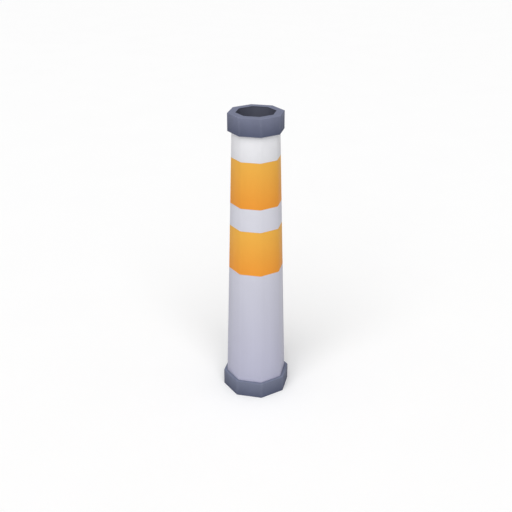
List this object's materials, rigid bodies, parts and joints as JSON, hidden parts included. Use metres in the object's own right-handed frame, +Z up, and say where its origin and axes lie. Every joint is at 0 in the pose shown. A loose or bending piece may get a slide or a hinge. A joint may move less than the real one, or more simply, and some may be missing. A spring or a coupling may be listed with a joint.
{
  "type": "delineator post",
  "caption": "Tapered eight-sided traffic delineator post with orange and white reflective bands, open top collar socket and slip-on base ring.",
  "frame": {"origin": "on the ground, under the middle of the post", "axes": "+Z up along the post; a flat of the octagon faces -Y and another +X; the sheeting's seam is on the +Y side"},
  "size_m": [0.1976, 0.1976, 0.915],
  "materials": {
    "shell_plastic": "satin",
    "white_sheeting": "satin",
    "orange_sheeting": "satin",
    "collar_rubber": "matte",
    "ring_rubber": "matte",
    "liner_plastic": "satin",
    "zinc_steel": "satin",
    "stainless_steel": "satin",
    "blackened_steel": "satin",
    "cast_ballast": "matte",
    "black_rubber": "matte"
  },
  "bodies": {
    "post": {"post_shell": "shell_plastic", "white_band_top": "white_sheeting", "orange_band_upper": "orange_sheeting", "white_band_middle": "white_sheeting", "orange_band_lower": "orange_sheeting", "top_collar": "collar_rubber", "collar_stiffener": "zinc_steel", "socket_liner": "liner_plastic", "liner_spacer": "black_rubber", "collar_screws": "blackened_steel", "ballast_weight": "cast_ballast", "ballast_pad": "black_rubber", "base_plate": "zinc_steel", "ballast_bolts": "stainless_steel", "anchor_sleeve": "zinc_steel", "anti_slip_pad_1": "black_rubber", "anti_slip_pad_2": "black_rubber", "anti_slip_pad_3": "black_rubber", "anti_slip_pad_4": "black_rubber"},
    "base_ring": {"base_ring": "ring_rubber"}
  },
  "joints": [
    {"name": "base_ring_lift", "type": "slide", "parent": "post", "child": "base_ring", "axis": [0, 0, 1], "range_m": [0, 0.92]}
  ]
}
